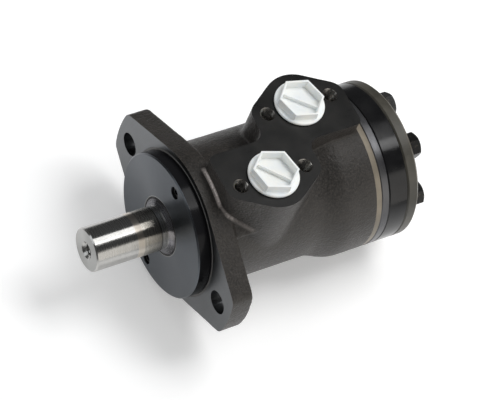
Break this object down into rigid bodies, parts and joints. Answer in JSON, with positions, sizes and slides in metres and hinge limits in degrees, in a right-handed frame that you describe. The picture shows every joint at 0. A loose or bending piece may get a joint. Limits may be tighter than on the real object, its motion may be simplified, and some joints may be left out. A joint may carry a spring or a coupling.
{
  "type": "hydraulic motor",
  "caption": "Orbital roller-gerotor hydraulic motor with a two-hole flange and pilot, a parallel output shaft, and two side ports closed by white transport plugs.",
  "frame": {"origin": "centre of the flange's mounting face, on the shaft's axis", "axes": "-X along the output shaft, towards its free end; +Y towards one flange hole; +Z out of the port face"},
  "size_m": [0.194, 0.131, 0.1072],
  "materials": {
    "cast_body": "dark cast iron under a thin satin coat",
    "pilot_steel": "black-finished turned face, satin",
    "black_oxide": "black oxide",
    "seal_rubber": "oiled black rubber",
    "ground_steel": "ground",
    "bearing_brass": "satin",
    "polished_shaft": "ground and polished",
    "plate_steel": "turned, satin",
    "ring_black": "glossy black",
    "cover_olive": "satin, dark olive",
    "washer_yellow": "soft sealing washer",
    "plug_white": "moulded white plastic",
    "seal_white": "soft white plastic",
    "zinc_steel": "zinc plated",
    "copper_washer": "copper"
  },
  "bodies": {
    "root": {"housing": "cast_body", "front_cover": "pilot_steel", "front_cover_screws": "black_oxide", "dust_seal": "seal_rubber", "shaft_seal": "seal_rubber", "seal_washer": "ground_steel", "front_cover_o_ring": "seal_rubber", "thrust_race_front": "ground_steel", "housing_o_ring": "seal_rubber", "channel_plate": "plate_steel", "plate_o_ring": "seal_rubber", "gear_ring": "ring_black", "cover_o_ring": "seal_rubber", "end_cover": "cover_olive", "end_cover_bolts": "black_oxide", "bolt_washers": "washer_yellow", "check_valve_seats": "bearing_brass", "drain_plug": "zinc_steel", "drain_plug_washer": "copper_washer"},
    "shaft": {"output_shaft": "polished_shaft", "thrust_race_rear": "ground_steel"},
    "needle_cage": {"thrust_cage": "bearing_brass", "thrust_needles": "ground_steel"},
    "orbiter": {"cardan_spacer": "ground_steel"},
    "rotor": {"rotor": "ground_steel"},
    "cardan": {"cardan_shaft": "ground_steel"},
    "roller_1": {"roller_1": "ground_steel"},
    "roller_2": {"roller_2": "ground_steel"},
    "roller_3": {"roller_3": "ground_steel"},
    "roller_4": {"roller_4": "ground_steel"},
    "roller_5": {"roller_5": "ground_steel"},
    "roller_6": {"roller_6": "ground_steel"},
    "roller_7": {"roller_7": "ground_steel"},
    "check_ball_a": {"check_ball_a": "ground_steel"},
    "check_ball_b": {"check_ball_b": "ground_steel"},
    "plug_a_seal": {"port_seal_a": "seal_white"},
    "plug_a": {"port_plug_a": "plug_white"},
    "plug_b_seal": {"port_seal_b": "seal_white"},
    "plug_b": {"port_plug_b": "plug_white"}
  },
  "joints": [
    {"name": "shaft_spin", "type": "hinge", "parent": "root", "child": "shaft", "pos_m": [0, 0, 0], "axis": [1, 0, 0], "continuous": true},
    {"name": "needle_cage_spin", "type": "hinge", "parent": "root", "child": "needle_cage", "pos_m": [0.007, 0, 0], "axis": [1, 0, 0], "continuous": true},
    {"name": "rotor_orbit", "type": "hinge", "parent": "root", "child": "orbiter", "pos_m": [0.11795, 0, 0], "axis": [1, 0, 0], "continuous": true},
    {"name": "rotor_spin", "type": "hinge", "parent": "orbiter", "child": "rotor", "pos_m": [0.11795, 0, 0.0026], "axis": [1, 0, 0], "continuous": true},
    {"name": "cardan_spin", "type": "hinge", "parent": "orbiter", "child": "cardan", "pos_m": [0.038, 0, 0], "axis": [0.9995, 0, 0.0325], "continuous": true},
    {"name": "roller_1_spin", "type": "hinge", "parent": "root", "child": "roller_1", "pos_m": [0.11795, 0, 0.0265], "axis": [1, 0, 0], "continuous": true},
    {"name": "roller_2_spin", "type": "hinge", "parent": "root", "child": "roller_2", "pos_m": [0.11795, -0.02072, 0.01652], "axis": [1, 0, 0], "continuous": true},
    {"name": "roller_3_spin", "type": "hinge", "parent": "root", "child": "roller_3", "pos_m": [0.11795, -0.02584, -0.0059], "axis": [1, 0, 0], "continuous": true},
    {"name": "roller_4_spin", "type": "hinge", "parent": "root", "child": "roller_4", "pos_m": [0.11795, -0.0115, -0.02388], "axis": [1, 0, 0], "continuous": true},
    {"name": "roller_5_spin", "type": "hinge", "parent": "root", "child": "roller_5", "pos_m": [0.11795, 0.0115, -0.02388], "axis": [1, 0, 0], "continuous": true},
    {"name": "roller_6_spin", "type": "hinge", "parent": "root", "child": "roller_6", "pos_m": [0.11795, 0.02584, -0.0059], "axis": [1, 0, 0], "continuous": true},
    {"name": "roller_7_spin", "type": "hinge", "parent": "root", "child": "roller_7", "pos_m": [0.11795, 0.02072, 0.01652], "axis": [1, 0, 0], "continuous": true},
    {"name": "check_ball_a_lift", "type": "slide", "parent": "root", "child": "check_ball_a", "axis": [1, 0, 0], "range_m": [0, 0.0026]},
    {"name": "check_ball_b_lift", "type": "slide", "parent": "root", "child": "check_ball_b", "axis": [1, 0, 0], "range_m": [0, 0.0026]},
    {"name": "plug_a_lift", "type": "slide", "parent": "root", "child": "plug_a_seal", "axis": [0, 0, 1], "range_m": [0, 0.0128]},
    {"name": "plug_a_turn", "type": "hinge", "parent": "plug_a_seal", "child": "plug_a", "pos_m": [0.0376, -0.018, 0.0548], "axis": [0, 0, 1], "range_deg": [0, 2520]},
    {"name": "plug_b_lift", "type": "slide", "parent": "root", "child": "plug_b_seal", "axis": [0, 0, 1], "range_m": [0, 0.0128]},
    {"name": "plug_b_turn", "type": "hinge", "parent": "plug_b_seal", "child": "plug_b", "pos_m": [0.0737, 0.018, 0.0548], "axis": [0, 0, 1], "range_deg": [0, 2520]}
  ],
  "couplings": [
    {"joint": "needle_cage_spin", "follows": "shaft_spin", "ratio": 0.5},
    {"joint": "rotor_orbit", "follows": "shaft_spin", "ratio": -6},
    {"joint": "rotor_spin", "follows": "shaft_spin", "ratio": 7},
    {"joint": "cardan_spin", "follows": "shaft_spin", "ratio": 7},
    {"joint": "plug_a_lift", "follows": "plug_a_turn", "m_per_rad": 0.00028871},
    {"joint": "plug_b_lift", "follows": "plug_b_turn", "m_per_rad": 0.00028871}
  ]
}
